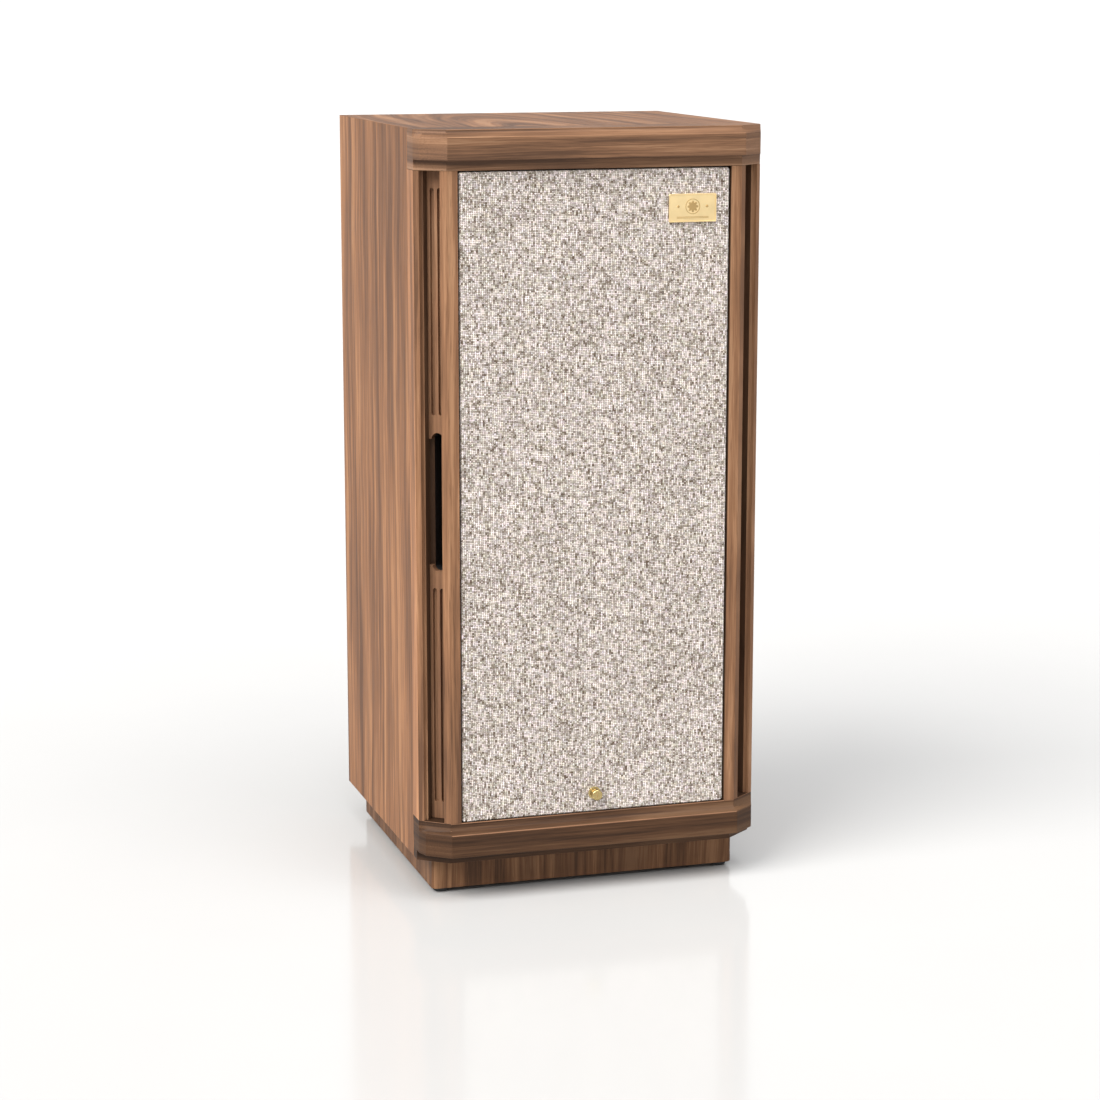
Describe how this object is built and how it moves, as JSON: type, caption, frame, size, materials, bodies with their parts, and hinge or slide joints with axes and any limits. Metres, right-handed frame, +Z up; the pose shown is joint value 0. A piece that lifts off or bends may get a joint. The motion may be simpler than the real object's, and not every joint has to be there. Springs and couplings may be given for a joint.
{
  "type": "floor-standing loudspeaker cabinet",
  "caption": "Tall walnut floor-standing loudspeaker with chamfered corner posts, sliding port slats, a lift-off tweed grille with a turn lock, and a dual-concentric drive unit.",
  "frame": {"origin": "middle of the whole object's footprint, on the floor", "axes": "+Z up, -Y out of the front (grille) face, +X to the viewer's right when facing the front"},
  "size_m": [0.3936, 0.3816, 0.85],
  "materials": {
    "walnut": "satin walnut veneer",
    "dark_walnut": "dark stained walnut, satin",
    "fibreboard": "bare fibreboard",
    "black_lacquer": "black painted board",
    "grille_cloth": "tweed grille cloth",
    "brass": "satin brass",
    "steel": "zinc plated steel",
    "cast_metal": "black cast frame",
    "rubber": "black rubber",
    "lead_sleeve": "black cable sleeve",
    "paper_pulp": "black pulp",
    "spider_cloth": "resin-dipped cloth",
    "copper": "enamelled copper wire",
    "ferrite": "ground ferrite",
    "circuit_board": "glass-fibre board",
    "capacitor_sleeve": "shrink sleeve",
    "wadding": "polyester wadding"
  },
  "bodies": {
    "cabinet": {"left_side_panel": "walnut", "right_side_panel": "walnut", "top_panel": "walnut", "bottom_panel": "walnut", "back_panel": "walnut", "top_moulding": "walnut", "bottom_moulding": "walnut", "left_corner_post": "walnut", "right_corner_post": "walnut", "plinth_front": "dark_walnut", "plinth_back": "dark_walnut", "plinth_left": "dark_walnut", "plinth_right": "dark_walnut", "front_left_foot": "rubber", "front_right_foot": "rubber", "back_left_foot": "rubber", "back_right_foot": "rubber", "driver_trim_ring": "rubber", "driver_surround": "rubber", "input_lead": "lead_sleeve", "driver_lead": "lead_sleeve", "lower_brace": "fibreboard", "upper_brace": "fibreboard", "baffle": "black_lacquer", "control_plate": "brass", "terminal_plate": "brass", "phase_plug": "brass", "treble_minus_post": "brass", "treble_plus_post": "brass", "bass_minus_post": "brass", "bass_plus_post": "brass", "lock_keeper": "steel", "magnet_front_plate": "steel", "pole_and_back_plate": "steel", "driver_basket": "cast_metal", "treble_unit": "cast_metal", "driver_spider": "spider_cloth", "crossover_inductor": "copper", "ring_magnet": "ferrite", "crossover_board": "circuit_board", "crossover_capacitor": "capacitor_sleeve", "rear_wadding": "wadding"},
    "grille": {"grille_frame": "black_lacquer", "grille_cloth": "grille_cloth", "badge_plate": "brass", "lock_bush": "brass"},
    "grille_lock": {"lock_knob": "brass", "lock_cam": "steel"},
    "cone": {"driver_cone": "paper_pulp", "voice_coil": "copper"},
    "left_upper_slat": {"left_upper_slat": "walnut"},
    "left_lower_slat": {"left_lower_slat": "walnut"},
    "right_upper_slat": {"right_upper_slat": "walnut"},
    "right_lower_slat": {"right_lower_slat": "walnut"},
    "treble_level_knob": {"treble_level_knob": "brass"},
    "treble_slope_knob": {"treble_slope_knob": "brass"},
    "treble_minus_cap": {"treble_minus_cap": "brass"},
    "treble_plus_cap": {"treble_plus_cap": "brass"},
    "bass_minus_cap": {"bass_minus_cap": "brass"},
    "bass_plus_cap": {"bass_plus_cap": "brass"}
  },
  "joints": [
    {"name": "grille_pull", "type": "slide", "parent": "cabinet", "child": "grille", "axis": [0, -1, 0], "range_m": [0, 0.08]},
    {"name": "grille_lock_turn", "type": "hinge", "parent": "grille", "child": "grille_lock", "pos_m": [0, -0.17975, 0.1125], "axis": [0, 1, 0], "range_deg": [0, 90]},
    {"name": "cone_travel", "type": "slide", "parent": "cabinet", "child": "cone", "axis": [0, -1, 0], "range_m": [-0.004, 0.004], "stiffness_N_per_m": 1500, "deforming": ["driver_surround", "driver_spider"]},
    {"name": "left_upper_slat_slide", "type": "slide", "parent": "cabinet", "child": "left_upper_slat", "axis": [0, 0, -1], "range_m": [0, 0.069]},
    {"name": "left_lower_slat_slide", "type": "slide", "parent": "cabinet", "child": "left_lower_slat", "axis": [0, 0, 1], "range_m": [0, 0.069]},
    {"name": "right_upper_slat_slide", "type": "slide", "parent": "cabinet", "child": "right_upper_slat", "axis": [0, 0, -1], "range_m": [0, 0.069]},
    {"name": "right_lower_slat_slide", "type": "slide", "parent": "cabinet", "child": "right_lower_slat", "axis": [0, 0, 1], "range_m": [0, 0.069]},
    {"name": "treble_level_turn", "type": "hinge", "parent": "cabinet", "child": "treble_level_knob", "pos_m": [-0.036, -0.15575, 0.345], "axis": [0, 1, 0], "range_deg": [-60, 60]},
    {"name": "treble_slope_turn", "type": "hinge", "parent": "cabinet", "child": "treble_slope_knob", "pos_m": [0.036, -0.15575, 0.345], "axis": [0, 1, 0], "range_deg": [-60, 60]},
    {"name": "treble_minus_cap_turn", "type": "hinge", "parent": "cabinet", "child": "treble_minus_cap", "pos_m": [-0.028, 0.18025, 0.178], "axis": [0, 1, 0], "range_deg": [0, 720]},
    {"name": "treble_plus_cap_turn", "type": "hinge", "parent": "cabinet", "child": "treble_plus_cap", "pos_m": [0.028, 0.18025, 0.178], "axis": [0, 1, 0], "range_deg": [0, 720]},
    {"name": "bass_minus_cap_turn", "type": "hinge", "parent": "cabinet", "child": "bass_minus_cap", "pos_m": [-0.028, 0.18025, 0.142], "axis": [0, 1, 0], "range_deg": [0, 720]},
    {"name": "bass_plus_cap_turn", "type": "hinge", "parent": "cabinet", "child": "bass_plus_cap", "pos_m": [0.028, 0.18025, 0.142], "axis": [0, 1, 0], "range_deg": [0, 720]}
  ]
}
